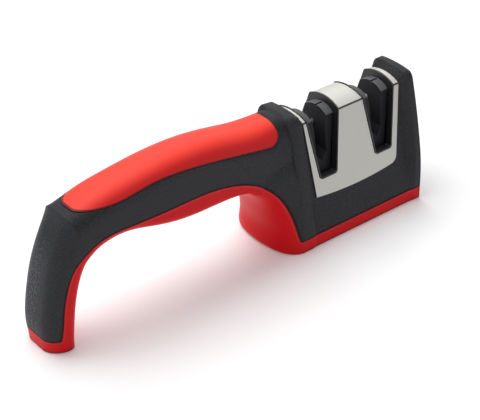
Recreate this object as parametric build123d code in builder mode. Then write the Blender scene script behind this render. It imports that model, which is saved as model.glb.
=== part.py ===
import os
from math import cos, radians, sin, tan

from build123d import *

# Driving sizes of the whole sharpener
overall_length = 202.4
crown_height = 70.0
head_length = 73.8
head_width = 42.0
handle_width = 24.4

# Walls, fits and the one overrun of every cut
wall = 2.2
grip_thickness = 1.8
saddle_wall = 2.0
seam_gap = 0.25
slip_fit = 0.15
seat_gap = 0.05
press_gap = 0.02
overrun = 12.0

# Places along the length, from the shoulder where the head meets the handle
shoulder_x = overall_length / 2 - head_length
handle_reach = overall_length - head_length
quarter_share = 0.5523

# Head: collar beside the grip, end tower, and the scooped floor that carries the steel cover
shoulder_crown_share = 0.920
collar_rim = 0.9
collar_width = 6.4
collar_height = shoulder_crown_share * crown_height + collar_rim
collar_edge_runs = (0.0, 0.4, 1.2)
collar_edge_insets = (0.6, 0.2, 0.0)
collar_fall = 0.6
collar_slope = 2.65
tower_drop = 0.8
tower_height = collar_height - tower_drop
tower_thickness = 3.3
tower_slope = 3.6
floor_drop = 3.8
floor_height = collar_height - floor_drop
fold_drop = 2.05
fold_height = floor_height - fold_drop
fold_half_width = 8.7
plate_lean = 11.0
plate_foot_height = 0.37 * fold_height
band_height = 6.9
flare_half_width = 20.6
floor_thickness = 3.0

# Steel cover and its two cut-outs
sheet = 0.8
cover_start = 9.05
cover_end = 66.7
cover_left_foot = 12.3
cover_right_foot = 61.2
cover_rise = 0.55
cover_foot_height = 0.397 * fold_height
cover_foot_sag = 1.7
cover_corner_radius = 4.0
slot_places = (20.3, 53.9)
cutout_top_half = 9.75
cutout_rise = 0.5
cutout_foot_half = 5.2
cutout_foot_height = 0.5215 * fold_height
cutout_corner_radius = 2.0
bezel_wall = 0.7
bezel_rise = 0.4

# Knife guides, sunk in the cut-outs: half widths of the knife slot with their shares of the fold height
knife_slot_halves = (4.8, 4.2, 3.3, 3.0, 0.0)
knife_slot_height_shares = (1.12, 0.97, 0.91, 0.685, 0.617)
lead_in = 0.7
cheek_half_depth = 7.1
cheek_foot_half_depth = 11.7
cheek_crest_drop = 1.6
cheek_shoulder_drop = 2.3
cheek_notch_width = 0.9
cheek_notch_depth = 0.8
guide_foot = 0.4373 * fold_height
core_half_length = 8.2
core_half_depth = 5.6
core_top = 0.8915 * fold_height
hold_half_length = 11.4
hold_half_depth = 2.0
hold_foot = 0.841 * fold_height

# Crossing abrasives: tungsten carbide plates, then ceramic rods
cross_lean = 20.0
cross_height = 0.6476 * fold_height
cross_up = 0.2405 * fold_height
cross_down = 0.1514 * fold_height
carbide_thickness = 1.5
carbide_width = 3.4
rod_diameter = 4.0
rod_spacing = 4.2
carrier_top = 0.5652 * fold_height

# Module plate, pads, bosses and screws
plate_top = 0.4037 * fold_height
plate_thickness = 2.0
plate_start = 2.8
plate_end = 66.4
plate_half_width = 10.0
plate_corner_radius = 3.0
pad_thickness = 1.4
foot_lift = 0.4
base_pad_start = 4.0
base_pad_end = 69.5
base_pad_width = 34.0
foot_pad_rim = 2.45
foot_pad_width = 18.0
pad_corner_radius = 3.5
screw_shank = 2.6
screw_head = 5.0
screw_head_height = 1.8
pilot_gap = 0.02
hole_gap = 0.15
pocket_gap = 0.3
boss_diameter = 6.4
tube_diameter = 7.6
boss_gap = 0.1
pilot_overrun = 1.0
module_post_places = ((5.4, 0.0), (37.1, 6.0), (37.1, -6.0), (64.0, 0.0))
module_post_drops = (1.8, 5.8, 5.8, 15.8)
module_boss_diameter = 5.0
module_web_thickness = 2.0
module_screw_length = 11.0
base_posts = ((9.5, 13.4), (9.5, -13.4), (62.6, 13.4), (62.6, -13.4))
base_screw_seat = 4.2
base_tube_top = 8.8
base_boss_top = 0.471 * fold_height
base_screw_length = 14.0
handle_screw_reach_shares = (0.389, 0.669)
handle_screw_belly_shares = (0.543, 0.632)
handle_screw_depth = 4.0
handle_screw_length = 12.0
handle_boss_gap = 0.3
foot_screw_shift = 1.05
foot_screw_seat = 4.0
foot_boss_top = 22.0
foot_web_thickness = 2.0
foot_screw_length = 12.0

# Handle stations as shares of the handle's reach, the crown height and half the handle's width:
# crown reach and height, belly reach and height, half width, crown rounding across and down
foot_station_shares = (
    (1.000, 0.000, 0.895, 0.000, 0.98, 0.57, 0.57),
    (1.000, 0.114, 0.891, 0.114, 0.98, 0.57, 0.57),
    (0.996, 0.243, 0.883, 0.243, 0.98, 0.57, 0.57),
    (0.981, 0.400, 0.867, 0.393, 0.98, 0.58, 0.57),
    (0.954, 0.586, 0.844, 0.507, 0.98, 0.61, 0.58),
    (0.917, 0.740, 0.826, 0.557, 0.99, 0.67, 0.60),
    (0.885, 0.867, 0.797, 0.599, 1.00, 0.74, 0.62),
)
grip_station_shares = (
    (0.885, 0.867, 0.797, 0.599, 1.00, 0.74, 0.62),
    (0.836, 0.891, 0.770, 0.620, 1.00, 0.80, 0.66),
    (0.770, 0.930, 0.723, 0.637, 1.00, 0.84, 0.70),
    (0.677, 0.961, 0.653, 0.630, 1.00, 0.86, 0.72),
    (0.575, 0.984, 0.568, 0.590, 1.00, 0.86, 0.74),
    (0.467, 0.997, 0.467, 0.551, 1.00, 0.86, 0.74),
    (0.342, 0.989, 0.358, 0.540, 1.00, 0.86, 0.74),
    (0.226, 0.957, 0.257, 0.539, 1.01, 0.86, 0.76),
    (0.109, 0.927, 0.171, 0.514, 1.04, 0.88, 0.95),
    (-0.016, shoulder_crown_share, 0.000, 0.486, 1.11, 0.92, 1.39),
)
belly_radius_share = 0.41
corner_fit_share = 0.98
nose_curve_shares = (0.68, 0.93, 0.55)

# Collar and tower outline as shares of half the head's width and the tower height
post_neck_shares = (0.555, 0.933)
post_middle_shares = (0.750, 0.690)
post_hip_shares = (0.931, 0.408)
post_bend_shares = ((0.981, 0.310), (1.000, 0.202))
post_brow_shares = (0.510, 0.011)
post_arch_shares = (0.381, 0.008)

# Scooped floor outline as shares of the flare's half width and the fold height
floor_bend_shares = ((0.820, 0.288), (0.940, 0.193))
fold_offset_shares = (0.885, 0.692)
fold_round_shares = (0.45, 0.21)

# Nose of the head as shares of the crown height and half the head's width: height, half width, bulge
nose_station_shares = (
    (0.000, 0.978, 0.390),
    (0.107, 0.983, 0.440),
    (0.229, 0.970, 0.490),
    (0.343, 0.938, 0.600),
    (0.450, 0.868, 0.840),
    (0.529, 0.805, 1.130),
    (0.620, 0.700, 1.200),
    (0.720, 0.560, 0.900),
)

# Seam between the black housing and the red shell, from the foot to the head, as reach and height shares
seam_shares = (
    (0.949, 0.199),
    (0.941, 0.310),
    (0.928, 0.414),
    (0.889, 0.566),
    (0.851, 0.626),
    (0.795, 0.681),
    (0.677, 0.699),
    (0.509, 0.693),
    (0.344, 0.690),
    (0.248, 0.660),
    (0.151, 0.587),
    (0.068, 0.451),
    (0.018, 0.224),
)
seam_corner_reach_share = 0.961

# Lower edge of the soft grip, from its knee end to the corner beside the collar
grip_edge_shares = (
    (0.900, 0.879),
    (0.798, 0.878),
    (0.698, 0.881),
    (0.569, 0.909),
    (0.434, 0.906),
    (0.294, 0.873),
    (0.148, 0.827),
    (0.097, 0.811),
)
grip_corner_shares = ((0.071, 0.812), (0.051, 0.834), (0.039, 0.866))


def head_x(place_x):
    return shoulder_x + place_x


def handle_x(reach):
    return shoulder_x - reach


def place(reach_share, height_share):
    # Point in the side view
    return (shoulder_x - reach_share * handle_reach, height_share * crown_height)


def handle_section(shares, inset):
    # Closed outline across the handle, from the belly up to the crown
    top_reach, top_height, low_reach, low_height, half, crown_wide, crown_deep = shares
    low_x, low_z = place(low_reach, low_height)
    top_x, top_z = place(top_reach, top_height)
    low = Vector(low_x, 0, low_z)
    up = (Vector(top_x, 0, top_z) - low).normalized()
    tall = (Vector(top_x, 0, top_z) - low).length - 2 * inset
    half_width = half * handle_width / 2 - inset
    across = crown_wide * handle_width / 2 - inset
    down = crown_deep * handle_width / 2 - inset
    corner = belly_radius_share * handle_width / 2 - inset
    fit = min(1, corner_fit_share * tall / (corner + down))
    corner, down = fit * corner, fit * down
    bend = 1 - quarter_share
    flat = half_width - across
    shoulder = tall - down
    plane = Plane(origin=low + up * inset, x_dir=(0, 1, 0), z_dir=Vector(0, 1, 0).cross(up))
    with BuildSketch(plane) as section:
        with BuildLine():
            Line((corner - half_width, 0), (half_width - corner, 0))
            Bezier(
                (half_width - corner, 0),
                (half_width - bend * corner, 0),
                (half_width, bend * corner),
                (half_width, corner),
            )
            Line((half_width, corner), (half_width, shoulder))
            Bezier(
                (half_width, shoulder),
                (half_width, tall - bend * down),
                (half_width - bend * across, tall),
                (flat, tall),
            )
            Line((flat, tall), (-flat, tall))
            Bezier(
                (-flat, tall),
                (bend * across - half_width, tall),
                (-half_width, tall - bend * down),
                (-half_width, shoulder),
            )
            Line((-half_width, shoulder), (-half_width, corner))
            Bezier(
                (-half_width, corner),
                (-half_width, bend * corner),
                (bend * corner - half_width, 0),
                (corner - half_width, 0),
            )
        make_face()
    return section.sketch


def run_form(station_shares, inset):
    # One run of the handle with every surface moved in by the inset
    with BuildPart() as form:
        for shares in station_shares:
            add(handle_section(shares, inset))
        loft()
    return form.part


def handle_form(inset):
    # Foot and grip arch; the knee between them keeps its crease
    with BuildPart() as form:
        add(run_form(foot_station_shares, inset))
        add(run_form(grip_station_shares, inset))
    return form.part


def nose_form(inset):
    # Rounded rear of the head, from the base up into the throat under the handle
    near, wide, tip = nose_curve_shares
    with BuildPart() as form:
        for number, (height, half, bulge) in enumerate(nose_station_shares):
            half_width = half * head_width / 2 - inset
            rear = bulge * head_width / 2 - inset
            level = height * crown_height + (inset if number == 0 else 0)
            with BuildSketch(Plane.XY.offset(level)):
                with BuildLine():
                    Bezier(
                        (shoulder_x, half_width),
                        (shoulder_x - near * rear, wide * half_width),
                        (shoulder_x - rear, tip * half_width),
                        (shoulder_x - rear, 0),
                    )
                    Bezier(
                        (shoulder_x - rear, 0),
                        (shoulder_x - rear, -tip * half_width),
                        (shoulder_x - near * rear, -wide * half_width),
                        (shoulder_x, -half_width),
                    )
                    Polyline(
                        (shoulder_x, -half_width),
                        (shoulder_x + collar_width, -half_width),
                        (shoulder_x + collar_width, half_width),
                        (shoulder_x, half_width),
                    )
                make_face()
        loft()
    return form.part


def cross_plane(x):
    # Plane across the length, with width to the right and height up
    return Plane(origin=(x, 0, 0), x_dir=(0, 1, 0), z_dir=(1, 0, 0))


def mirrored(point):
    return (-point[0], point[1])


def post_point(shares, inset):
    return (shares[0] * head_width / 2 - inset, shares[1] * tower_height)


def post_profile(x, crest, inset=0):
    # Outline of the collar and the tower across the length, its sides and top moved in by the inset
    crest = crest - inset
    half = head_width / 2 - inset
    neck = post_point(post_neck_shares, inset)
    middle = post_point(post_middle_shares, inset)
    hip = post_point(post_hip_shares, inset)
    bend_high, bend_low = [post_point(shares, inset) for shares in post_bend_shares]
    brow = (post_brow_shares[0] * head_width / 2 - inset, crest - post_brow_shares[1] * tower_height)
    arch_end = (post_arch_shares[0] * head_width / 2 - inset, crest - post_arch_shares[1] * tower_height)
    with BuildSketch(cross_plane(x)) as profile:
        with BuildLine():
            ThreePointArc(neck, middle, hip)
            Bezier(hip, bend_high, bend_low, (half, band_height))
            Polyline((half, band_height), (half, 0), (-half, 0), (-half, band_height))
            Bezier((-half, band_height), mirrored(bend_low), mirrored(bend_high), mirrored(hip))
            ThreePointArc(mirrored(hip), mirrored(middle), mirrored(neck))
            Bezier(mirrored(neck), mirrored(brow), mirrored(arch_end))
            ThreePointArc(mirrored(arch_end), (0, crest), arch_end)
            Bezier(arch_end, brow, neck)
        make_face()
    return profile.sketch


def floor_profile(x, inset):
    # Outline of the scooped floor under the steel cover; a negative inset moves it outwards
    lean = radians(plate_lean)
    across, down = fold_offset_shares
    fold = (fold_half_width - across * inset, fold_height - down * inset)
    side_start = (fold[0] + sheet * sin(lean), fold[1] - sheet * cos(lean))
    reach = fold_half_width + (fold_height - plate_foot_height) * tan(lean)
    side_end = (reach - inset * cos(lean), plate_foot_height - inset * sin(lean))
    bends = [(a * flare_half_width - inset, b * fold_height) for a, b in floor_bend_shares]
    base = flare_half_width - inset
    arch_end = (fold[0] - fold_round_shares[0] * sheet, fold[1] + fold_round_shares[1] * sheet)
    with BuildSketch(cross_plane(x)) as profile:
        with BuildLine():
            Line(side_start, side_end)
            Bezier(side_end, bends[0], bends[1], (base, band_height))
            Polyline((base, band_height), (base, inset), (-base, inset), (-base, band_height))
            Bezier((-base, band_height), mirrored(bends[1]), mirrored(bends[0]), mirrored(side_end))
            Line(mirrored(side_end), mirrored(side_start))
            Bezier(mirrored(side_start), mirrored(fold), mirrored(arch_end))
            ThreePointArc(mirrored(arch_end), (0, floor_height - inset), arch_end)
            Bezier(arch_end, fold, side_start)
        make_face()
    return profile.sketch


def floor_prism(start, end, inset):
    # Straight run of the floor profile between two places from the shoulder
    with BuildPart() as prism:
        extrude(floor_profile(shoulder_x + start, inset), amount=end - start, dir=(1, 0, 0))
    return prism.part


def head_form():
    # Collar, scooped middle and tower in one ruled body
    tower_start = head_length - tower_thickness
    with BuildPart() as form:
        for run, inset in zip(collar_edge_runs, collar_edge_insets):
            add(post_profile(shoulder_x + run, collar_height, inset))
        add(post_profile(shoulder_x + collar_width, collar_height - collar_fall))
        add(floor_profile(shoulder_x + collar_width + collar_slope, 0))
        add(floor_profile(shoulder_x + tower_start - tower_slope, 0))
        add(post_profile(shoulder_x + tower_start, tower_height))
        add(post_profile(shoulder_x + head_length, tower_height))
        loft(ruled=True)
    return form.part


def outer_form():
    with BuildPart() as form:
        add(handle_form(0))
        add(nose_form(0))
        add(head_form())
    return form.part


def room_above(height):
    # Everything above a level, for trimming the hollow and the shells
    with BuildPart() as room:
        with BuildSketch(Plane.XY.offset(height)):
            Rectangle(2 * overall_length, 2 * head_width)
        extrude(amount=2 * crown_height)
    return room.part


def cavity_form():
    # Hollow inside the walls, above the floor and short of the tower
    with BuildPart() as form:
        add(handle_form(wall))
        add(nose_form(wall))
        add(floor_prism(wall, head_length - tower_thickness - tower_slope, wall))
        add(room_above(foot_lift + floor_thickness), mode=Mode.INTERSECT)
    return form.part


def moved_aside(before, point, after, shift):
    # The point moved to the left of the path through its two neighbours
    run = Vector(after[0] - before[0], after[1] - before[1]).normalized()
    return (point[0] - shift * run.Y, point[1] + shift * run.X)


def side_region(gap_side):
    # Slab above or below the seam through the whole width, each side standing off by half the gap
    shift = gap_side * seam_gap / 2
    far = gap_side * 3 * crown_height
    band = band_height + shift
    corner = (handle_x(seam_corner_reach_share * handle_reach) - shift, band)
    end = (shoulder_x + shift, band)
    seam = [place(*shares) for shares in seam_shares]
    path = [corner] + seam + [end]
    points = [moved_aside(*path[i - 1:i + 2], shift) for i in range(1, len(seam) + 1)]
    with BuildPart() as region:
        with BuildSketch(Plane.XZ.offset(-head_width)):
            with BuildLine():
                Spline([corner] + points + [end])
                Polyline(
                    end,
                    (overall_length, band),
                    (overall_length, far),
                    (-overall_length, far),
                    (-overall_length, band),
                    corner,
                )
            make_face()
        extrude(amount=2 * head_width)
    return region.part


def grip_region(gap):
    # Slab above the grip's lower edge, ended beside the collar with a rounded corner
    points = [place(*shares) for shares in grip_edge_shares]
    corner = [place(*shares) for shares in grip_corner_shares]
    points = [(x, z + gap) for x, z in points]
    corner = [(x - gap, z + gap) for x, z in corner]
    top = 2 * crown_height
    with BuildPart() as region:
        with BuildSketch(Plane.XZ.offset(-head_width)):
            with BuildLine():
                Spline(points)
                Spline([points[-1]] + corner)
                left = (-overall_length, points[0][1])
                Polyline(corner[-1], (corner[-1][0], top), (-overall_length, top), left, points[0])
            make_face()
        extrude(amount=2 * head_width)
    return region.part


def through_prism(points, corner_radius=0):
    # Side-view outline run through the whole width, with its two lowest corners rounded if asked
    with BuildPart() as prism:
        with BuildSketch(Plane.XZ.offset(-head_width)) as outline:
            with BuildLine():
                Polyline(*points, close=True)
            make_face()
            if corner_radius:
                fillet(outline.vertices().group_by(Axis.Y)[0], corner_radius)
        extrude(amount=2 * head_width)
    return prism.part


def cutout_half(height):
    share = (height - cutout_foot_height) / (fold_height + cutout_rise - cutout_foot_height)
    return cutout_foot_half + share * (cutout_top_half - cutout_foot_half)


def cutout_prism(middle, grow):
    # Tapered cut-out of one knife slot, open over the top, every side moved out by grow
    top = collar_height + overrun
    foot = cutout_foot_height - grow
    top_half = cutout_half(top) + grow
    foot_half = cutout_half(foot) + grow
    points = [
        (middle - top_half, top),
        (middle - foot_half, foot),
        (middle + foot_half, foot),
        (middle + top_half, top),
    ]
    return through_prism(points, cutout_corner_radius + grow)


def post(x, y, low, high, diameter):
    with BuildPart() as body:
        with BuildSketch(Plane.XY.offset(low)):
            with Locations((x, y)):
                Circle(diameter / 2)
        extrude(amount=high - low)
    return body.part


def screw(x, y, seat, length):
    # Self-tapping screw driven upwards, its chamfered head hanging below the seat
    with BuildPart() as body:
        add(post(x, y, seat - screw_head_height, seat, screw_head))
        chamfer(body.faces().sort_by(Axis.Z)[0].edges(), screw_head_height / 3)
        add(post(x, y, seat, seat + length, screw_shank))
        chamfer(body.faces().sort_by(Axis.Z)[-1].edges(), screw_shank / 4)
    return body.part


def block(x_low, x_high, half_depth, low, high):
    with BuildPart() as body:
        with BuildSketch(Plane.XY.offset(low)):
            with Locations(((x_low + x_high) / 2, 0)):
                Rectangle(x_high - x_low, 2 * half_depth)
        extrude(amount=high - low)
    return body.part


def pad(x_low, x_high, width, grow):
    # Non-slip pad, or with a grow the recess that it sits in
    with BuildPart() as body:
        with BuildSketch():
            with Locations(((x_low + x_high) / 2, 0)):
                RectangleRounded(x_high - x_low + 2 * grow, width + 2 * grow, pad_corner_radius + grow)
        extrude(amount=pad_thickness)
    return body.part


# Shared forms
outer = outer_form()
cavity = cavity_form()
slot_middles = [head_x(value) for value in slot_places]
pilot = screw_shank + 2 * pilot_gap
clear_hole = screw_shank + 2 * hole_gap
head_pocket = screw_head + 2 * pocket_gap
plate_foot = plate_top - plate_thickness
base_pad_low = head_x(base_pad_start)
base_pad_high = head_x(base_pad_end)
foot_pad_low = handle_x(foot_station_shares[0][0] * handle_reach) + foot_pad_rim
foot_pad_high = handle_x(foot_station_shares[0][2] * handle_reach) - foot_pad_rim
foot_screw_x = (foot_pad_low + foot_pad_high) / 2 - foot_screw_shift
module_posts = [(*spot, floor_height - drop) for spot, drop in zip(module_post_places, module_post_drops)]
web_x, web_y, web_top = module_posts[-1]
web_low = handle_x(handle_reach - wall / 2)
handle_joint = seam_shares[6][1] * crown_height
handle_screw_places = [share * handle_reach for share in handle_screw_reach_shares]
handle_screw_seats = [share * crown_height + handle_screw_depth for share in handle_screw_belly_shares]
cheek_crest = floor_height - cheek_crest_drop
cheek_shoulder = cheek_crest - cheek_shoulder_drop


# Upper housing: black shell with the saddle under the grip, the hanging bosses and the slot openings
with BuildPart() as head_posts:
    for x, y, top in module_posts:
        add(post(head_x(x), y, plate_top, top, module_boss_diameter))
    add(block(head_x(web_x), head_x(head_length), module_web_thickness / 2, plate_top, web_top))
    for x, y in base_posts:
        add(post(head_x(x), y, base_tube_top + boss_gap, base_boss_top, boss_diameter))
    add(floor_prism(sheet, head_length - tower_thickness, wall / 2), mode=Mode.INTERSECT)

with BuildPart() as handle_posts:
    for reach in handle_screw_places:
        add(post(handle_x(reach), 0, handle_joint, crown_height, boss_diameter))
    add(run_form(grip_station_shares, grip_thickness + saddle_wall / 2), mode=Mode.INTERSECT)

with BuildPart() as saddle:
    add(run_form(grip_station_shares, grip_thickness))
    add(grip_region(-saddle_wall), mode=Mode.INTERSECT)
    add(run_form(grip_station_shares, grip_thickness + saddle_wall), mode=Mode.SUBTRACT)

with BuildPart() as upper_housing:
    add(outer)
    add(cavity, mode=Mode.SUBTRACT)
    add(side_region(1), mode=Mode.INTERSECT)
    add(grip_region(0), mode=Mode.SUBTRACT)
    add(saddle.part)
    add(head_posts.part)
    add(handle_posts.part)
    add(post(foot_screw_x, 0, band_height + boss_gap, foot_boss_top, boss_diameter))
    add(block(web_low, foot_screw_x, foot_web_thickness / 2, band_height + boss_gap, foot_boss_top))
    for middle in slot_middles:
        add(cutout_prism(middle, 0), mode=Mode.SUBTRACT)
    for x, y, crest in module_posts:
        top = plate_foot + module_screw_length + pilot_overrun
        add(post(head_x(x), y, plate_foot, top, pilot), mode=Mode.SUBTRACT)
    for x, y in base_posts:
        top = base_screw_seat + base_screw_length + pilot_overrun
        add(post(head_x(x), y, band_height, top, pilot), mode=Mode.SUBTRACT)
    for reach, seat in zip(handle_screw_places, handle_screw_seats):
        top = seat + handle_screw_length + pilot_overrun
        add(post(handle_x(reach), 0, seat, top, pilot), mode=Mode.SUBTRACT)
    top = foot_screw_seat + foot_screw_length + pilot_overrun
    add(post(foot_screw_x, 0, foot_screw_seat, top, pilot), mode=Mode.SUBTRACT)


# Lower housing: red shell with the floor, the screw tubes and the recesses of the pads
with BuildPart() as handle_tubes:
    for reach in handle_screw_places:
        add(post(handle_x(reach), 0, 0, handle_joint - handle_boss_gap, tube_diameter))
    add(run_form(grip_station_shares, wall / 2), mode=Mode.INTERSECT)

with BuildPart() as lower_housing:
    add(outer)
    add(cavity, mode=Mode.SUBTRACT)
    add(side_region(-1), mode=Mode.INTERSECT)
    add(room_above(foot_lift), mode=Mode.INTERSECT)
    add(handle_tubes.part)
    for x, y in base_posts:
        add(post(head_x(x), y, foot_lift, base_tube_top, tube_diameter))
    add(post(foot_screw_x, 0, foot_lift, band_height, boss_diameter))
    add(pad(base_pad_low, base_pad_high, base_pad_width, slip_fit), mode=Mode.SUBTRACT)
    add(pad(foot_pad_low, foot_pad_high, foot_pad_width, slip_fit), mode=Mode.SUBTRACT)
    for x, y in base_posts:
        add(post(head_x(x), y, 0, base_screw_seat, head_pocket), mode=Mode.SUBTRACT)
        add(post(head_x(x), y, 0, base_tube_top + overrun, clear_hole), mode=Mode.SUBTRACT)
    for reach, seat in zip(handle_screw_places, handle_screw_seats):
        add(post(handle_x(reach), 0, 0, seat, head_pocket), mode=Mode.SUBTRACT)
        add(post(handle_x(reach), 0, 0, crown_height, clear_hole), mode=Mode.SUBTRACT)
    add(post(foot_screw_x, 0, 0, foot_screw_seat, head_pocket), mode=Mode.SUBTRACT)
    add(post(foot_screw_x, 0, 0, band_height + overrun, clear_hole), mode=Mode.SUBTRACT)


# Top grip: soft overmould on the crown of the handle
with BuildPart() as top_grip:
    add(outer)
    add(grip_region(seam_gap), mode=Mode.INTERSECT)
    add(run_form(grip_station_shares, grip_thickness), mode=Mode.SUBTRACT)


# Steel cover: bent sheet over the scooped floor, tapered towards its foot, with both cut-outs
def cover_outline():
    with BuildPart() as prism:
        with BuildSketch(Plane.XZ.offset(-head_width)) as outline:
            with BuildLine():
                left_foot = (head_x(cover_left_foot), cover_foot_height)
                right_foot = (head_x(cover_right_foot), cover_foot_height)
                middle_x = (left_foot[0] + right_foot[0]) / 2
                knee = fold_height + cover_rise
                top = collar_height + overrun
                ThreePointArc(left_foot, (middle_x, cover_foot_height - cover_foot_sag), right_foot)
                Polyline(
                    right_foot,
                    (head_x(cover_end), knee),
                    (head_x(cover_end), top),
                    (head_x(cover_start), top),
                    (head_x(cover_start), knee),
                    left_foot,
                )
            make_face()
            corner = outline.vertices().sort_by_distance((right_foot[0], 0, right_foot[1]))[0]
            fillet(corner, cover_corner_radius)
        extrude(amount=2 * head_width)
    return prism.part


with BuildPart() as steel_cover:
    add(floor_prism(cover_start, cover_end, -sheet))
    add(floor_prism(0, head_length, 0), mode=Mode.SUBTRACT)
    add(cover_outline(), mode=Mode.INTERSECT)
    for middle in slot_middles:
        add(cutout_prism(middle, 0), mode=Mode.SUBTRACT)


# Bezels: thin liners round the two cut-outs, through the sheet and the wall, standing a little proud
def bezel(middle):
    with BuildPart() as liner:
        add(floor_prism(cover_start, cover_end, -sheet - bezel_rise))
        add(floor_prism(0, head_length, wall), mode=Mode.SUBTRACT)
        add(cutout_prism(middle, -slip_fit), mode=Mode.INTERSECT)
        add(cutout_prism(middle, -slip_fit - bezel_wall), mode=Mode.SUBTRACT)
    return liner.part


with BuildPart() as coarse_bezel:
    add(bezel(slot_middles[0]))

with BuildPart() as fine_bezel:
    add(bezel(slot_middles[1]))


# Abrasives: two plates or two rods leaning across each other, crossing at one height
def leaning_plane(knife, side, y):
    lean = radians(cross_lean)
    axis = Vector(side * sin(lean), 0, cos(lean))
    start = Vector(knife, y, cross_height) - axis * cross_down
    return Plane(origin=start, x_dir=(0, 1, 0), z_dir=axis)


def carbide_plate(knife, side, grow):
    with BuildPart() as body:
        with BuildSketch(leaning_plane(knife, side, side * carbide_thickness / 2)):
            Rectangle(carbide_thickness + 2 * grow, carbide_width + 2 * grow)
        extrude(amount=cross_up + cross_down)
    return body.part


def ceramic_rod(knife, side, grow):
    with BuildPart() as body:
        with BuildSketch(leaning_plane(knife, side, side * rod_spacing / 2)):
            Circle(rod_diameter / 2 + grow)
        extrude(amount=cross_up + cross_down)
    return body.part


with BuildPart() as carbide_blade_left:
    add(carbide_plate(slot_middles[0], -1, 0))

with BuildPart() as carbide_blade_right:
    add(carbide_plate(slot_middles[0], 1, 0))

with BuildPart() as ceramic_rod_left:
    add(ceramic_rod(slot_middles[1], -1, 0))

with BuildPart() as ceramic_rod_right:
    add(ceramic_rod(slot_middles[1], 1, 0))


# Carriers: blocks on the module plate that hold the lower ends of the abrasives
def carrier(knife, element):
    with BuildPart() as body:
        low = knife - core_half_length
        add(block(low, knife + core_half_length, core_half_depth, plate_top, carrier_top))
        chamfer(body.edges().filter_by(Axis.Z), lead_in)
        for side in (-1, 1):
            add(element(knife, side, press_gap), mode=Mode.SUBTRACT)
    return body.part


with BuildPart() as blade_carrier:
    add(carrier(slot_middles[0], carbide_plate))

with BuildPart() as rod_carrier:
    add(carrier(slot_middles[1], ceramic_rod))


# Guides: two arched cheeks and a hidden core with the knife slot between them
def cheek_prism(x_low, x_high):
    with BuildPart() as body:
        with BuildSketch(cross_plane(x_low)):
            with BuildLine():
                high = (cheek_half_depth, cheek_shoulder)
                ThreePointArc(mirrored(high), (0, cheek_crest), high)
                low = (cheek_foot_half_depth, guide_foot)
                Polyline(high, low, mirrored(low), mirrored(high))
            make_face()
        extrude(amount=x_high - x_low, dir=(1, 0, 0))
    return body.part


def guide(middle, element):
    top = knife_slot_height_shares[0] * fold_height
    half_top = cutout_half(top) - 2 * slip_fit - bezel_wall
    half_foot = cutout_half(guide_foot) - 2 * slip_fit - bezel_wall
    side_view = [
        (middle - half_top, top),
        (middle - half_foot, guide_foot),
        (middle + half_foot, guide_foot),
        (middle + half_top, top),
    ]
    shares = zip(knife_slot_halves, knife_slot_height_shares)
    knife_slot = [(half, share * fold_height) for half, share in shares]
    left_wall = [(middle - half, height) for half, height in knife_slot]
    right_wall = [(middle + half, height) for half, height in reversed(knife_slot[:-1])]
    low = middle - core_half_length
    high = middle + core_half_length
    with BuildPart() as body:
        add(cheek_prism(middle - half_top, middle + half_top))
        notch_foot = cheek_crest - cheek_notch_depth
        add(block(middle, high, cheek_notch_width / 2, notch_foot, top), mode=Mode.SUBTRACT)
        add(through_prism(side_view), mode=Mode.INTERSECT)
        add(block(low, high, core_half_depth, carrier_top, core_top))
        hold_top = floor_height - wall - slip_fit
        add(block(middle - hold_half_length, middle + hold_half_length, hold_half_depth, hold_foot, hold_top))
        add(through_prism(left_wall + right_wall), mode=Mode.SUBTRACT)
        room = core_half_depth + slip_fit
        room_top = carrier_top + seat_gap
        add(block(low - slip_fit, high + slip_fit, room, guide_foot, room_top), mode=Mode.SUBTRACT)
        for side in (-1, 1):
            add(element(middle, side, slip_fit), mode=Mode.SUBTRACT)
    return body.part


with BuildPart() as coarse_guide:
    add(guide(slot_middles[0], carbide_plate))

with BuildPart() as fine_guide:
    add(guide(slot_middles[1], ceramic_rod))


# Module plate: closes the sharpening unit from below
with BuildPart() as module_plate:
    with BuildSketch(Plane.XY.offset(plate_foot)):
        with Locations((head_x((plate_start + plate_end) / 2), 0)):
            RectangleRounded(plate_end - plate_start, 2 * plate_half_width, plate_corner_radius)
    extrude(amount=plate_thickness)
    for x, y, crest in module_posts:
        add(post(head_x(x), y, 0, plate_top + overrun, clear_hole), mode=Mode.SUBTRACT)


# Screws, one part for each set of identical fasteners
with BuildPart() as module_screws:
    for x, y, crest in module_posts:
        add(screw(head_x(x), y, plate_foot, module_screw_length))

with BuildPart() as base_screws:
    for x, y in base_posts:
        add(screw(head_x(x), y, base_screw_seat, base_screw_length))

with BuildPart() as handle_screws:
    for reach, seat in zip(handle_screw_places, handle_screw_seats):
        add(screw(handle_x(reach), 0, seat, handle_screw_length))

with BuildPart() as foot_screw:
    add(screw(foot_screw_x, 0, foot_screw_seat, foot_screw_length))


# Non-slip pads, standing a little below the shells
with BuildPart() as base_pad:
    add(pad(base_pad_low, base_pad_high, base_pad_width, 0))

with BuildPart() as foot_pad:
    add(pad(foot_pad_low, foot_pad_high, foot_pad_width, 0))


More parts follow.
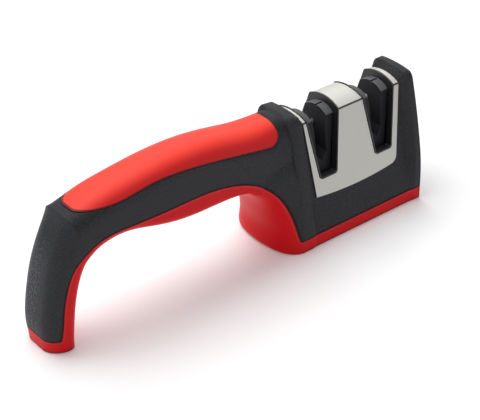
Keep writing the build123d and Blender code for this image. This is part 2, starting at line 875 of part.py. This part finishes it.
# Save every piece
pieces = {
    "upper_housing": upper_housing,
    "lower_housing": lower_housing,
    "top_grip": top_grip,
    "steel_cover": steel_cover,
    "coarse_bezel": coarse_bezel,
    "fine_bezel": fine_bezel,
    "coarse_guide": coarse_guide,
    "fine_guide": fine_guide,
    "carbide_blade_left": carbide_blade_left,
    "carbide_blade_right": carbide_blade_right,
    "blade_carrier": blade_carrier,
    "ceramic_rod_left": ceramic_rod_left,
    "ceramic_rod_right": ceramic_rod_right,
    "rod_carrier": rod_carrier,
    "module_plate": module_plate,
    "module_screws": module_screws,
    "base_screws": base_screws,
    "handle_screws": handle_screws,
    "foot_screw": foot_screw,
    "base_pad": base_pad,
    "foot_pad": foot_pad,
}
os.makedirs("parts", exist_ok=True)
for name, piece in pieces.items():
    piece.part.label = name
    export_step(piece.part, f"parts/{name}.step")
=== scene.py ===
import math

import bpy
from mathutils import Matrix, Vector


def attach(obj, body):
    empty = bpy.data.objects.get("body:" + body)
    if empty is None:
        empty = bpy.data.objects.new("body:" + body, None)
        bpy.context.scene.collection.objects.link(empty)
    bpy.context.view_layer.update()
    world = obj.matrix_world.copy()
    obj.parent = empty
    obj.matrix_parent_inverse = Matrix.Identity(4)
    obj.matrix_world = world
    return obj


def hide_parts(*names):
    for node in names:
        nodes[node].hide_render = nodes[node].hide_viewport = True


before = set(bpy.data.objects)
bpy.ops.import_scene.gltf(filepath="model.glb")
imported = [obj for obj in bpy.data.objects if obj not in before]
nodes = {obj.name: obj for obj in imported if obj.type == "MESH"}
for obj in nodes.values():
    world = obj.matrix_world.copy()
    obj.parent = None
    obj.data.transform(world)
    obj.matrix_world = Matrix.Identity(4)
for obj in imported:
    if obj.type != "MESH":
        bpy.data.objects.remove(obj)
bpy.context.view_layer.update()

# The table top and its backdrop: a plain white sweep that the sharpener stands on, with one
# large soft panel over it, a weak one behind it and a pale room around it.
half_table = 4
table_corners = [(-half_table, -half_table, 0), (half_table, -half_table, 0),
                 (half_table, half_table, 0), (-half_table, half_table, 0)]
table = bpy.data.meshes.new("table")
table.from_pydata(table_corners, [], [(0, 1, 2, 3)])
table_top = bpy.data.objects.new("table_top", table)
bpy.context.scene.collection.objects.link(table_top)


def feed(tree, socket, value):
    """Link another node's output to the socket, or write a plain value into it."""
    if isinstance(value, bpy.types.NodeSocket):
        tree.links.new(value, socket)
    else:
        socket.default_value = value


def ramp(tree, value, low, high, start=0.0, end=1.0, kind="SMOOTHSTEP"):
    """From start, where value is at or below low, to end, where it is at or above high."""
    node = tree.nodes.new("ShaderNodeMapRange")
    node.interpolation_type = kind
    given = {"Value": value, "From Min": low, "From Max": high, "To Min": start, "To Max": end}
    for label, number in given.items():
        feed(tree, node.inputs[label], number)
    return node.outputs["Result"]


def maths(tree, operation, first, second=0.0, third=0.0):
    node = tree.nodes.new("ShaderNodeMath")
    node.operation = operation
    for socket, value in zip(node.inputs, (first, second, third)):
        feed(tree, socket, value)
    return node.outputs["Value"]


def backdrop_rays(tree):
    """1 for what the camera, a mirror or glass sees, 0 for light that falls on the object."""
    rays = tree.nodes.new("ShaderNodeLightPath").outputs
    mirrored = maths(tree, "MAXIMUM", rays["Is Glossy Ray"], rays["Is Transmission Ray"])
    return maths(tree, "MAXIMUM", rays["Is Camera Ray"], mirrored)


def either(tree, factor, first, second):
    """The first shader where factor is 0, and the second where it is 1."""
    node = tree.nodes.new("ShaderNodeMixShader")
    for socket, value in zip(node.inputs, (factor, first, second)):
        feed(tree, socket, value)
    return node.outputs["Shader"]


paper = bpy.data.materials.new("white_paper")
paper.use_nodes = True
tree = paper.node_tree
sheet = tree.nodes["Principled BSDF"]
sheet.inputs["Base Color"].default_value = (0.9, 0.9, 0.9, 1)
sheet.inputs["Roughness"].default_value = 0.9
sheet.inputs["Specular IOR Level"].default_value = 0.1
# seen from the side, the paper stays white where it runs out of the panels' light
lit_from, lit_to = 0.4, 1.0
lift_near, lift_far = 0.12, 0.7
spot = tree.nodes.new("ShaderNodeTexCoord")
distance = tree.nodes.new("ShaderNodeVectorMath")
distance.operation = "LENGTH"
feed(tree, distance.inputs[0], spot.outputs["Object"])
lift = tree.nodes.new("ShaderNodeEmission")
strength = ramp(tree, distance.outputs["Value"], lit_from, lit_to, lift_near, lift_far)
feed(tree, lift.inputs["Strength"], strength)
unlit = tree.nodes.new("ShaderNodeEmission")
unlit.inputs["Strength"].default_value = 0
only_seen = either(tree, backdrop_rays(tree), unlit.outputs[0], lift.outputs[0])
both = tree.nodes.new("ShaderNodeAddShader")
feed(tree, both.inputs[0], sheet.outputs[0])
feed(tree, both.inputs[1], only_seen)
feed(tree, tree.nodes["Material Output"].inputs["Surface"], both.outputs[0])
table.materials.append(paper)

world = bpy.data.worlds.new("pale_room")
bpy.context.scene.world = world
world.use_nodes = True
tree = world.node_tree
room = tree.nodes["Background"]
room.inputs["Color"].default_value = (0.97, 0.98, 1, 1)
room.inputs["Strength"].default_value = 0.4
white = tree.nodes.new("ShaderNodeBackground")
white.inputs["Color"].default_value = (1, 1, 1, 1)
white.inputs["Strength"].default_value = 1
shown_room = either(tree, backdrop_rays(tree), room.outputs[0], white.outputs[0])
feed(tree, tree.nodes["World Output"].inputs["Surface"], shown_room)


def soft_panel(name, place, aim, size, power):
    lamp = bpy.data.lights.new(name, "AREA")
    lamp.shape = "RECTANGLE"
    lamp.size, lamp.size_y = size
    lamp.energy = power
    holder = bpy.data.objects.new(name, lamp)
    bpy.context.scene.collection.objects.link(holder)
    holder.location = place
    holder.rotation_euler = (Vector(aim) - Vector(place)).to_track_quat("-Z", "Y").to_euler()


soft_panel("overhead_panel", (-0.1, 0.35, 0.95), aim=(0, 0, 0.03), size=(0.9, 0.7), power=9.3)
soft_panel("rear_panel", (0.75, 0.8, 0.7), aim=(0.06, 0, 0.05), size=(0.7, 0.5), power=1.8)

camera_azimuth, camera_elevation = -39.11, 34.28
lens = bpy.data.cameras.new("camera")
lens.sensor_fit = "HORIZONTAL"
lens.sensor_width = 36
lens.lens = 118.5
lens.clip_start = 0.01
camera = bpy.data.objects.new("camera", lens)
camera.location = (-0.3589, -0.4519, 0.4185)
camera.rotation_euler = (math.radians(90 - camera_elevation), 0, math.radians(camera_azimuth))
bpy.context.scene.collection.objects.link(camera)
bpy.context.scene.camera = camera
bpy.context.scene.view_settings.view_transform = "Standard"


# Upper housing: the black shell of collar, tower, handle and foot, moulded in hard plastic.
# Its faces carry a fine spark-eroded grain, coarser on the foot's outer end, and its edges are
# a little rounded. Screws from below hold it to the red shell along the wavy seam.
def noise(tree, coords, scale, detail, rough=0.5):
    texture = tree.nodes.new("ShaderNodeTexNoise")
    given = {"Vector": coords, "Scale": scale, "Detail": detail, "Roughness": rough}
    for label, value in given.items():
        feed(tree, texture.inputs[label], value)
    return texture.outputs["Fac"]


def blend(tree, factor, first, second):
    """The first colour where factor is 0, and the second where it is 1."""
    node = tree.nodes.new("ShaderNodeMix")
    node.data_type = "RGBA"
    feed(tree, node.inputs["Factor"], factor)
    for label, value in (("A", first), ("B", second)):
        feed(tree, node.inputs[label], (*value, 1) if isinstance(value, tuple) else value)
    return node.outputs["Result"]


def axes(tree, vector):
    node = tree.nodes.new("ShaderNodeSeparateXYZ")
    feed(tree, node.inputs["Vector"], vector)
    return node.outputs


def facing(tree):
    return tree.nodes.new("ShaderNodeNewGeometry").outputs["Normal"]


def group_of(name, inputs, outputs):
    group = bpy.data.node_groups.new(name, "ShaderNodeTree")
    for label, value in inputs.items():
        kind = "NodeSocketVector" if isinstance(value, tuple) else "NodeSocketFloat"
        socket = group.interface.new_socket(label, in_out="INPUT", socket_type=kind)
        socket.default_value = value
    for label in outputs:
        group.interface.new_socket(label, in_out="OUTPUT", socket_type="NodeSocketFloat")
    given = group.nodes.new("NodeGroupInput").outputs
    put = group.nodes.new("NodeGroupOutput").inputs
    return group, given, put


def placed(tree, group, values):
    """The group, set into a material with that material's own values."""
    node = tree.nodes.new("ShaderNodeGroup")
    node.node_tree = group
    for label, value in values.items():
        feed(tree, node.inputs[label], value)
    return node.outputs


# spark-eroded mould grain: fine pits over a slow waviness of the gloss
wave_scale, pit_depth = 38, 0.0001
mould_grain, given, put = group_of(
    "mould_grain",
    {"Position": (0, 0, 0), "Grain Scale": 2600.0, "Gloss": 0.4, "Gloss Spread": 0.1},
    ("Height", "Roughness", "Shade"),
)
pits = noise(mould_grain, given["Position"], given["Grain Scale"], 3)
waves = noise(mould_grain, given["Position"], wave_scale, 3)
drift = maths(mould_grain, "SUBTRACT", waves, 0.5)
uneven = maths(mould_grain, "MULTIPLY_ADD", drift, given["Gloss Spread"], given["Gloss"])
for label, value in (("Height", pits), ("Roughness", uneven), ("Shade", waves)):
    feed(mould_grain, put[label], value)

# edge finder: 1 on open faces, falling to about 0.7 at the corner of a sharp edge
edge_finder, given, put = group_of("edge_finder", {"Reach": 0.002}, ("Openness",))
feeler = edge_finder.nodes.new("ShaderNodeBevel")
feeler.samples = 12
feed(edge_finder, feeler.inputs["Radius"], given["Reach"])
match = edge_finder.nodes.new("ShaderNodeVectorMath")
match.operation = "DOT_PRODUCT"
feed(edge_finder, match.inputs[0], feeler.outputs["Normal"])
feed(edge_finder, match.inputs[1], facing(edge_finder))
feed(edge_finder, put["Openness"], match.outputs["Value"])

# level finder: 0 on upright faces, rising to 1 on faces that look straight up
level_finder, given, put = group_of("level_finder", {"Low": 0.3, "High": 0.7}, ("Level",))
upward = axes(level_finder, facing(level_finder))["Z"]
feed(level_finder, put["Level"], ramp(level_finder, upward, given["Low"], given["High"]))


def openness(tree, reach):
    return placed(tree, edge_finder, {"Reach": reach})["Openness"]


def levelness(tree, low, high):
    return placed(tree, level_finder, {"Low": low, "High": high})["Level"]


def falling(tree, value, low, high):
    return ramp(tree, value, low, high, 1, 0)


def tint_by(tree, factor, color):
    """The material's colour turns to color where factor is 1."""
    skin = tree.nodes["Principled BSDF"]
    shade = skin.inputs["Base Color"].links[0].from_socket
    feed(tree, skin.inputs["Base Color"], blend(tree, factor, shade, color))


def bumped(tree, height, strength, depth):
    bump = tree.nodes.new("ShaderNodeBump")
    bump.inputs["Strength"].default_value = strength
    bump.inputs["Distance"].default_value = depth
    feed(tree, bump.inputs["Height"], height)
    feed(tree, tree.nodes["Principled BSDF"].inputs["Normal"], bump.outputs["Normal"])
    return bump


def moulded(name, dark, light, gloss, spread, grain_scale, grain_height, edge=0.0004, specular=0.5):
    """Moulded plastic: grain, an uneven gloss, a little colour drift and softened edges."""
    material = bpy.data.materials.new(name)
    material.use_nodes = True
    tree = material.node_tree
    skin = tree.nodes["Principled BSDF"]
    skin.inputs["Specular IOR Level"].default_value = specular
    coords = tree.nodes.new("ShaderNodeTexCoord")
    grain = placed(tree, mould_grain, {
        "Position": coords.outputs["Object"], "Grain Scale": grain_scale,
        "Gloss": gloss, "Gloss Spread": spread,
    })
    feed(tree, skin.inputs["Base Color"], blend(tree, grain["Shade"], dark, light))
    feed(tree, skin.inputs["Roughness"], grain["Roughness"])
    rounded = tree.nodes.new("ShaderNodeBevel")
    rounded.samples = 6
    rounded.inputs["Radius"].default_value = edge
    bump = bumped(tree, grain["Height"], grain_height, pit_depth)
    feed(tree, bump.inputs["Normal"], rounded.outputs["Normal"])
    return material


def finish(material, *names):
    for name in names:
        mesh = nodes[name].data
        if not mesh.materials:
            mesh.materials.append(material)
        for number in range(len(mesh.materials)):
            mesh.materials[number] = material


black_shell = moulded(
    "black_shell", dark=(0.010, 0.0103, 0.0125), light=(0.016, 0.0163, 0.019), gloss=0.52,
    spread=0.14, grain_scale=2600, grain_height=0.35, specular=0.12,
)
tree = black_shell.node_tree
object_coords = tree.nodes["Texture Coordinate"].outputs["Object"]
x, y, z = axes(tree, object_coords)
# its edges are rounder at the knee, a slanting line across the handle's end, and round the
# throat, where the handle runs into the head
knee_across, knee_up, knee_shift, knee_height = 0.858, 0.516, 0.0741, 0.0607
knee_half_width = (0.003, 0.006)
throat_start, throat_end, throat_floor = (-0.012, -0.004), (0.0315, 0.0335), (0.014, 0.02)
edge_radius, extra_radius, knee_share = 0.0007, 0.0035, 0.5
across_knee = maths(tree, "MULTIPLY_ADD", x, knee_across, knee_shift)
above_knee = maths(tree, "SUBTRACT", z, knee_height)
from_knee = maths(tree, "ABSOLUTE", maths(tree, "MULTIPLY_ADD", above_knee, knee_up, across_knee))
knee = maths(tree, "MULTIPLY", falling(tree, from_knee, *knee_half_width), knee_share)
throat = maths(tree, "MULTIPLY", ramp(tree, x, *throat_start), falling(tree, x, *throat_end))
throat = maths(tree, "MULTIPLY", throat, ramp(tree, z, *throat_floor))
wide = maths(tree, "MAXIMUM", knee, throat)
rounded = tree.nodes["Bevel"]
rounded.samples = 12
feed(tree, rounded.inputs["Radius"], maths(tree, "MULTIPLY_ADD", wide, extra_radius, edge_radius))
# upright faces are painted a little paler than level ones, as painted light on the sides
painted_light_upright = maths(tree, "SUBTRACT", 1, levelness(tree, low=0.25, high=0.7))
tint_by(tree, painted_light_upright, (0.03, 0.0305, 0.0345))
# the foot's outer face keeps the coarse grain of its own mould slide
slide_turn, slide_front, slide_top = (-0.75, -0.5), (-0.075, -0.068), (0.034, 0.058)
slide_side = (-0.009, 0.007)
coarse_scale, coarse_rough, peak_range, grain_elsewhere = 2300, 0.6, (0.44, 0.7), 0.14
outward = falling(tree, axes(tree, facing(tree))["X"], *slide_turn)
outward = maths(tree, "MULTIPLY", outward, falling(tree, x, *slide_front))
outward = maths(tree, "MULTIPLY", outward, falling(tree, z, *slide_top))
outward = maths(tree, "MULTIPLY", outward, ramp(tree, y, *slide_side))
grainy = maths(tree, "MAXIMUM", outward, grain_elsewhere)
peaks = ramp(tree, noise(tree, object_coords, coarse_scale, 3, coarse_rough), *peak_range)
tint_by(tree, maths(tree, "MULTIPLY", grainy, peaks), (0.21, 0.213, 0.23))
# the seam line lies in shadow, so the black edge beside the red shell is darker; the collar's
# side has no seam and keeps its colour
seam_reach, seam_openness, seam_top = 0.0018, (0.78, 0.92), (0.052, 0.058)
collar_start, collar_floor = (0.003, 0.008), (0.03, 0.034)
low_edge = falling(tree, openness(tree, seam_reach), *seam_openness)
low_edge = maths(tree, "MULTIPLY", low_edge, falling(tree, z, *seam_top))
collar_side = maths(tree, "MULTIPLY", ramp(tree, x, *collar_start), ramp(tree, z, *collar_floor))
low_edge = maths(tree, "MULTIPLY", low_edge, maths(tree, "SUBTRACT", 1, collar_side))
tint_by(tree, low_edge, (0.004, 0.003, 0.004))
finish(black_shell, "upper_housing")

# Lower housing: the red shell of the head's base and the handle's belly, moulded in a glossier
# plastic than the black one and screwed to it from below. Its edge along the seam catches a
# little light, and the joint itself lies in shadow.
red_shell = moulded(
    "red_shell", dark=(0.66, 0.002, 0.006), light=(0.76, 0.004, 0.009), gloss=0.4,
    spread=0.08, grain_scale=1800, grain_height=0.12, edge=0.0006, specular=0.15,
)
tree = red_shell.node_tree
catch_openness, joint_openness, off_floor = (0.97, 0.999), (0.85, 0.965), (0.004, 0.007)
open_face = openness(tree, reach=0.0022)
height = axes(tree, tree.nodes["Texture Coordinate"].outputs["Object"])["Z"]
off_ground = ramp(tree, height, *off_floor)
catch = maths(tree, "MULTIPLY", falling(tree, open_face, *catch_openness), off_ground)
tint_by(tree, catch, (0.8, 0.05, 0.05))
tint_by(tree, falling(tree, open_face, *joint_openness), (0.06, 0.002, 0.003))
finish(red_shell, "lower_housing")

# Top grip: soft-touch red elastomer, moulded over the handle's crown in a second shot. It ends
# in a fine shadowed groove where it meets the hard shell.
soft_red = moulded(
    "soft_red", dark=(0.86, 0.036, 0.018), light=(0.95, 0.05, 0.026), gloss=0.55,
    spread=0.1, grain_scale=3200, grain_height=0.18, edge=0.0004, specular=0.27,
)
tree = soft_red.node_tree
groove_reach, groove_openness = 0.0016, (0.86, 0.97)
# the grip's sloping faces are painted darker than its crown, as painted shade
painted_shade_on_slopes = maths(tree, "SUBTRACT", 1, levelness(tree, low=0.66, high=1.0))
tint_by(tree, painted_shade_on_slopes, (0.62, 0.011, 0.011))
groove = falling(tree, openness(tree, groove_reach), *groove_openness)
tint_by(tree, groove, (0.12, 0.003, 0.004))
finish(soft_red, "top_grip")

# Steel cover: thin stainless sheet with two tapered cut-outs, bent over the head along a sharp
# fold at front and rear and brushed from top to bottom. It is clipped under the collar and the
# tower.
line_scale, line_length, line_detail, line_rough = 2600, 0.04, 4, 0.7
line_height, line_depth = 0.25, 0.00005
satin, matt, extra_matt_top = 0.26, 0.5, 0.2
brushed = bpy.data.materials.new("brushed_sheet")
brushed.use_nodes = True
tree = brushed.node_tree
skin = tree.nodes["Principled BSDF"]
skin.inputs["Metallic"].default_value = 1
coords = tree.nodes.new("ShaderNodeTexCoord").outputs["Object"]
stretch = tree.nodes.new("ShaderNodeMapping")
stretch.inputs["Scale"].default_value = (1, line_length, line_length)
feed(tree, stretch.inputs["Vector"], coords)
lines = noise(tree, stretch.outputs["Vector"], line_scale, line_detail, line_rough)
bumped(tree, lines, line_height, line_depth)
x, y, z = axes(tree, coords)
# a painted highlight runs along the cut-outs' edge, brighter than the brushed face
slot_middle, slot_offset, slot_taper, slot_root = 0.0645, 0.0168, 0.1572, 0.00033
rim_highlight_width, slot_floor = (0.0002, 0.0005), (0.0315, 0.0335)
from_middle = maths(tree, "ABSOLUTE", maths(tree, "SUBTRACT", x, slot_middle))
from_slot = maths(tree, "ABSOLUTE", maths(tree, "SUBTRACT", from_middle, slot_offset))
slot_half_width = maths(tree, "MULTIPLY_ADD", z, slot_taper, slot_root)
from_edge = maths(tree, "SUBTRACT", from_slot, slot_half_width)
painted_rim_highlight = maths(tree, "MULTIPLY", falling(tree, from_edge, *rim_highlight_width), ramp(tree, z, *slot_floor))
# a painted dark reflection lies along the fold as a fine line, and the top beyond it is duller
fold_y, fold_z, fold_width, top_height = 0.0093, 0.0599, (0.0003, 0.0006), (0.0585, 0.06)
across = maths(tree, "SUBTRACT", maths(tree, "ABSOLUTE", y), fold_y)
above = maths(tree, "SUBTRACT", z, fold_z)
squares = maths(tree, "MULTIPLY_ADD", across, across, maths(tree, "MULTIPLY", above, above))
painted_fold_reflection = falling(tree, maths(tree, "SQRT", squares), *fold_width)
matt_top_painted_lighter = ramp(tree, z, *top_height)
# the sheet's top is painted a little lighter than its front, as painted light
steel = blend(tree, matt_top_painted_lighter, (0.435, 0.427, 0.4), (0.455, 0.45, 0.42))
steel = blend(tree, painted_rim_highlight, steel, (0.7, 0.7, 0.68))
steel = blend(tree, painted_fold_reflection, steel, (0.06, 0.055, 0.05))
feed(tree, skin.inputs["Base Color"], steel)
gloss = ramp(tree, lines, 0, 1, satin, matt, kind="LINEAR")
feed(tree, skin.inputs["Roughness"], maths(tree, "MULTIPLY_ADD", matt_top_painted_lighter, extra_matt_top, gloss))
finish(brushed, "steel_cover")

# Bezels: thin satin black liners, moulded in plastic and pressed into the sheet's two cut-outs.
# Their lip stands a little proud and covers the sheet's cut edge.
liner_black = moulded(
    "liner_black", dark=(0.005, 0.005, 0.006), light=(0.008, 0.008, 0.009), gloss=0.4,
    spread=0.1, grain_scale=2600, grain_height=0.2,
)
finish(liner_black, "coarse_bezel", "fine_bezel")

# Guides: moulded black inserts under the two cut-outs. Two cheeks with a tapered slot between
# them steady the knife, and hardly any light reaches the slot's floor.
guide_black = moulded(
    "guide_black", dark=(0.012, 0.0122, 0.014), light=(0.018, 0.0182, 0.021), gloss=0.55,
    spread=0.14, grain_scale=2600, grain_height=0.3, edge=0.0005, specular=0.2,
)
tree = guide_black.node_tree
slot_depth, cheek_top = (0.046, 0.0572), (0.0545, 0.0565)
height = axes(tree, tree.nodes["Texture Coordinate"].outputs["Object"])["Z"]
tint_by(tree, falling(tree, height, *slot_depth), (0.013, 0.0125, 0.0155))
# the cheeks' level tops are painted much paler, as painted light falling on them
level = levelness(tree, low=0.45, high=0.8)
painted_light_on_cheeks = maths(tree, "MULTIPLY", level, ramp(tree, height, *cheek_top))
tint_by(tree, painted_light_on_cheeks, (0.09, 0.092, 0.096))
finish(guide_black, "coarse_guide", "fine_guide")

# Carbide plates: two ground tungsten carbide plates that cross at the floor of the coarse slot.
# They are pressed into their carrier.
carbide = moulded(
    "carbide", dark=(0.2, 0.2, 0.21), light=(0.3, 0.3, 0.31), gloss=0.35,
    spread=0.1, grain_scale=3000, grain_height=0.1,
)
carbide.node_tree.nodes["Principled BSDF"].inputs["Metallic"].default_value = 1
finish(carbide, "carbide_blade_left", "carbide_blade_right")

# Ceramic rods: two sintered off-white ceramic rods that cross in the fine slot, with the dull,
# slightly sandy skin of the fired material.
ceramic = moulded(
    "ceramic", dark=(0.74, 0.71, 0.64), light=(0.84, 0.82, 0.76), gloss=0.55,
    spread=0.1, grain_scale=3000, grain_height=0.15,
)
finish(ceramic, "ceramic_rod_left", "ceramic_rod_right")

# Carriers and module plate: plain black moulded parts. The two carriers hold the plates and the
# rods, and the plate closes the unit from below with its own screws.
plain_black = moulded(
    "plain_black", dark=(0.03, 0.03, 0.033), light=(0.045, 0.045, 0.05), gloss=0.5,
    spread=0.1, grain_scale=2000, grain_height=0.2,
)
finish(plain_black, "blade_carrier", "rod_carrier", "module_plate")

# Screws: zinc-plated self-tapping screws, driven from below through the module plate, the base,
# the handle's belly and the foot into the black shell's posts.
zinc = moulded(
    "zinc", dark=(0.5, 0.5, 0.5), light=(0.62, 0.62, 0.61), gloss=0.3,
    spread=0.15, grain_scale=2000, grain_height=0.1,
)
zinc.node_tree.nodes["Principled BSDF"].inputs["Metallic"].default_value = 1
finish(zinc, "module_screws", "base_screws", "handle_screws", "foot_screw")

# Pads: matt non-slip rubber sheets, die cut and glued into shallow recesses under the head and
# the foot, over the screws that they hide.
pad_rubber = moulded(
    "pad_rubber", dark=(0.018, 0.018, 0.018), light=(0.03, 0.03, 0.03), gloss=0.75,
    spread=0.1, grain_scale=2400, grain_height=0.5,
)
finish(pad_rubber, "base_pad", "foot_pad")

# Foot: its outer end is a little rounder beside the floor than the solids of both shells are,
# and the pad under it follows. The web moulded behind the black wall ends level with that
# wall's outer face.
wall_face, web_end, web_reach = -0.0999, Vector((-0.1001, 0, 0.022)), 0.00105
end_start, end_run, rounded_height = -0.088, 0.01, 0.012
rounded_depth, rounded_half_width = 0.0011, 0.008
shown_pieces = (
    ("upper_housing", "upper_shell"), ("lower_housing", "lower_shell"), ("foot_pad", "foot_sheet"),
)
for name, shown_name in shown_pieces:
    piece = bpy.data.objects.new(shown_name, nodes[name].data.copy())
    piece.matrix_world = nodes[name].matrix_world
    bpy.context.scene.collection.objects.link(piece)
    for vertex in piece.data.vertices:
        if (vertex.co - web_end).length < web_reach:
            vertex.co.x = max(vertex.co.x, wall_face)
        near_end = min(1, max(0, (end_start - vertex.co.x) / end_run))
        near_floor = min(1, max(0, 1 - vertex.co.z / rounded_height))
        off_middle = vertex.co.y / rounded_half_width
        vertex.co.x += rounded_depth * near_end * near_floor ** 2 * off_middle ** 2
    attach(piece, "root")
    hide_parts(name)
